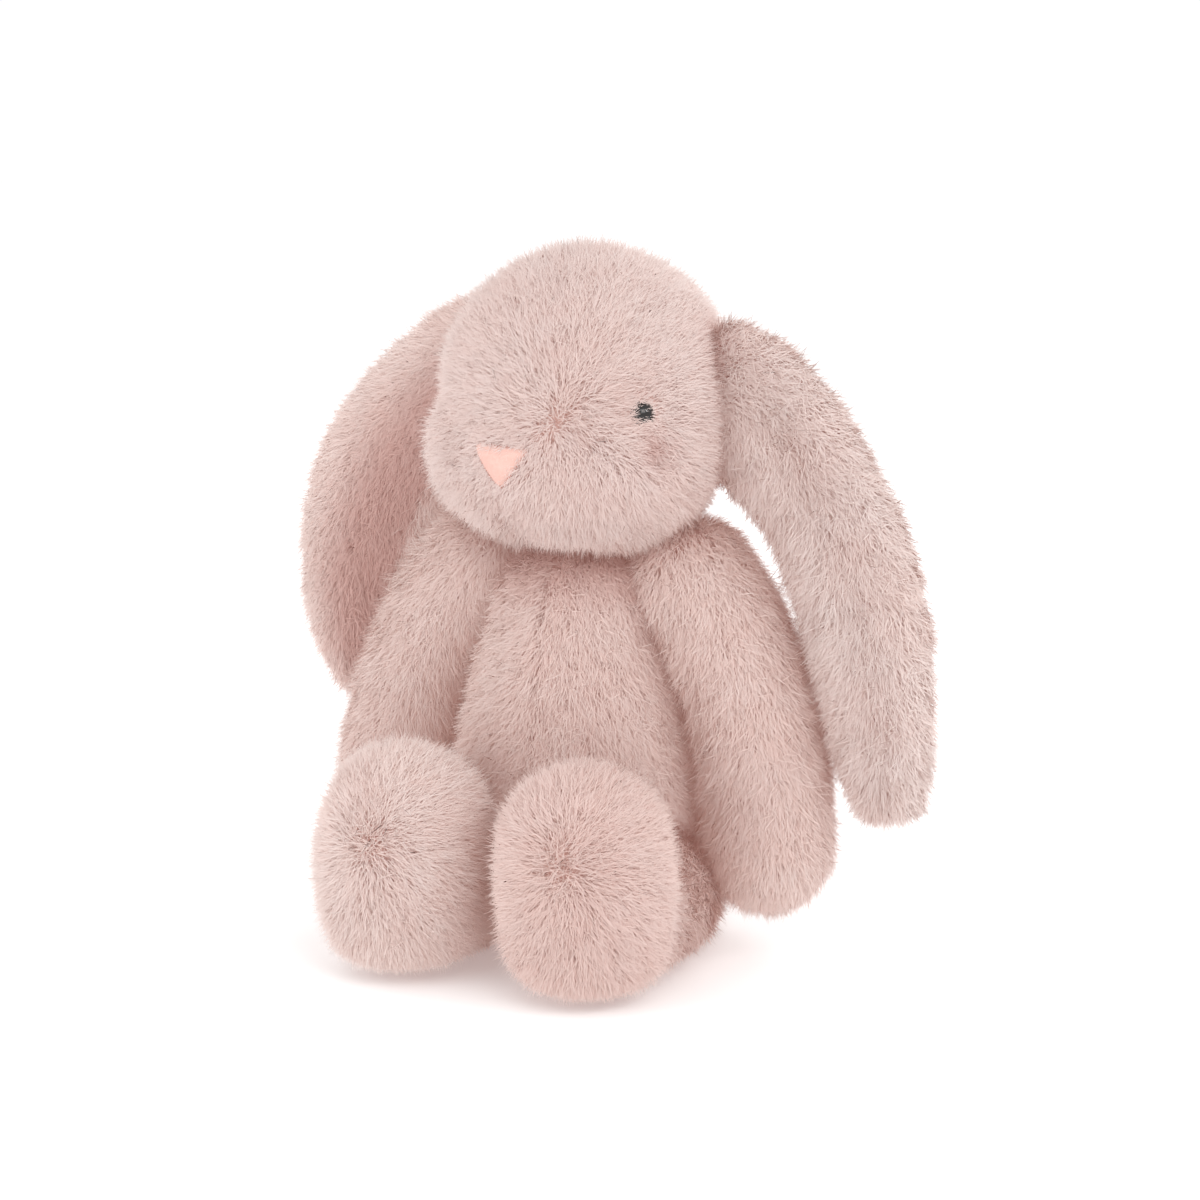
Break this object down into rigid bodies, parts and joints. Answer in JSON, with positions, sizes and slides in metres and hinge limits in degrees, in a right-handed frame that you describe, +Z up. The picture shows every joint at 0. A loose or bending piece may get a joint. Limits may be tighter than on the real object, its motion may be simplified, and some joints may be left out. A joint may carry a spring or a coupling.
{
  "type": "plush bunny",
  "caption": "Seated long-pile plush bunny with long lop ears, bead-weighted seat and feet, and a head, ears, arms and legs that move.",
  "frame": {"origin": "middle of the flat seat, on the surface that the bunny sits on", "axes": "+Z up, -Y the way the body faces, +X towards the bunny's own left hand"},
  "size_m": [0.299, 0.1939, 0.275],
  "materials": {
    "plush_fur": "matte",
    "fibre_filling": "matte",
    "pouch_cloth": "matte",
    "weighting_beads": "satin",
    "sewing_thread": "matte",
    "nose_velour": "matte",
    "eye_bead": "gloss",
    "lock_washer": "satin"
  },
  "bodies": {
    "torso": {"torso_front_panel": "plush_fur", "torso_back_panel": "plush_fur", "torso_stuffing": "fibre_filling", "seat_bead_pouch": "pouch_cloth", "seat_beads": "weighting_beads", "tail_cover": "plush_fur", "tail_stuffing": "fibre_filling", "closing_stitches": "sewing_thread"},
    "neck": {"neck_stuffing": "fibre_filling", "neck_thread": "sewing_thread"},
    "head": {"head_left_panel": "plush_fur", "head_right_panel": "plush_fur", "head_stuffing": "fibre_filling", "nose_patch": "nose_velour", "left_eye": "eye_bead", "right_eye": "eye_bead", "left_eye_washer": "lock_washer", "right_eye_washer": "lock_washer"},
    "left_ear_root": {"left_ear_gather": "plush_fur"},
    "left_ear": {"left_ear_front_panel": "plush_fur", "left_ear_back_panel": "plush_fur", "left_ear_padding": "fibre_filling"},
    "right_ear_root": {"right_ear_gather": "plush_fur"},
    "right_ear": {"right_ear_front_panel": "plush_fur", "right_ear_back_panel": "plush_fur", "right_ear_padding": "fibre_filling"},
    "left_arm": {"left_arm_front_panel": "plush_fur", "left_arm_back_panel": "plush_fur", "left_arm_stuffing": "fibre_filling"},
    "right_arm": {"right_arm_front_panel": "plush_fur", "right_arm_back_panel": "plush_fur", "right_arm_stuffing": "fibre_filling"},
    "left_hip": {"left_hip_gather": "sewing_thread"},
    "left_leg": {"left_leg_cover": "plush_fur", "left_sole_panel": "plush_fur", "left_leg_stuffing": "fibre_filling", "left_foot_beads": "weighting_beads"},
    "right_hip": {"right_hip_gather": "sewing_thread"},
    "right_leg": {"right_leg_cover": "plush_fur", "right_sole_panel": "plush_fur", "right_leg_stuffing": "fibre_filling", "right_foot_beads": "weighting_beads"}
  },
  "joints": [
    {"name": "head_turn", "type": "hinge", "parent": "torso", "child": "neck", "pos_m": [0, 0, 0.162], "axis": [0, 0, 1], "range_deg": [-30, 30], "stiffness_Nm_per_rad": 0.3},
    {"name": "head_nod", "type": "hinge", "parent": "neck", "child": "head", "pos_m": [0, 0, 0.162], "axis": [0.9903, -0.1392, 0], "range_deg": [-8, 15], "stiffness_Nm_per_rad": 0.6},
    {"name": "left_ear_swing", "type": "hinge", "parent": "head", "child": "left_ear_root", "pos_m": [0.05542, 0.00635, 0.236], "axis": [-0.9903, 0.1392, 0], "range_deg": [-30, 25]},
    {"name": "left_ear_lift", "type": "hinge", "parent": "left_ear_root", "child": "left_ear", "pos_m": [0.05542, 0.00635, 0.236], "axis": [-0.1392, -0.9903, 0], "range_deg": [0, 70]},
    {"name": "right_ear_swing", "type": "hinge", "parent": "head", "child": "right_ear_root", "pos_m": [-0.0518, 0.0194, 0.236], "axis": [-0.9903, 0.1392, 0], "range_deg": [-30, 10]},
    {"name": "right_ear_lift", "type": "hinge", "parent": "right_ear_root", "child": "right_ear", "pos_m": [-0.0518, 0.0194, 0.236], "axis": [0.1392, 0.9903, 0], "range_deg": [0, 70]},
    {"name": "left_arm_swing", "type": "hinge", "parent": "torso", "child": "left_arm", "pos_m": [0.049, 0, 0.15], "axis": [-0.9511, -0.309, 0], "range_deg": [-5, 100]},
    {"name": "right_arm_swing", "type": "hinge", "parent": "torso", "child": "right_arm", "pos_m": [-0.049, 0, 0.15], "axis": [-0.9511, 0.309, 0], "range_deg": [-5, 100]},
    {"name": "left_leg_spread", "type": "hinge", "parent": "torso", "child": "left_hip", "pos_m": [0.033, -0.036, 0.03], "axis": [0, 0, 1], "range_deg": [-3, 25]},
    {"name": "left_leg_lift", "type": "hinge", "parent": "left_hip", "child": "left_leg", "pos_m": [0.033, -0.036, 0.03], "axis": [-0.9781, -0.2079, 0], "range_deg": [0, 18]},
    {"name": "right_leg_spread", "type": "hinge", "parent": "torso", "child": "right_hip", "pos_m": [-0.033, -0.036, 0.03], "axis": [0, 0, -1], "range_deg": [-3, 25]},
    {"name": "right_leg_lift", "type": "hinge", "parent": "right_hip", "child": "right_leg", "pos_m": [-0.033, -0.036, 0.03], "axis": [-0.9925, 0.1219, 0], "range_deg": [0, 18]}
  ]
}
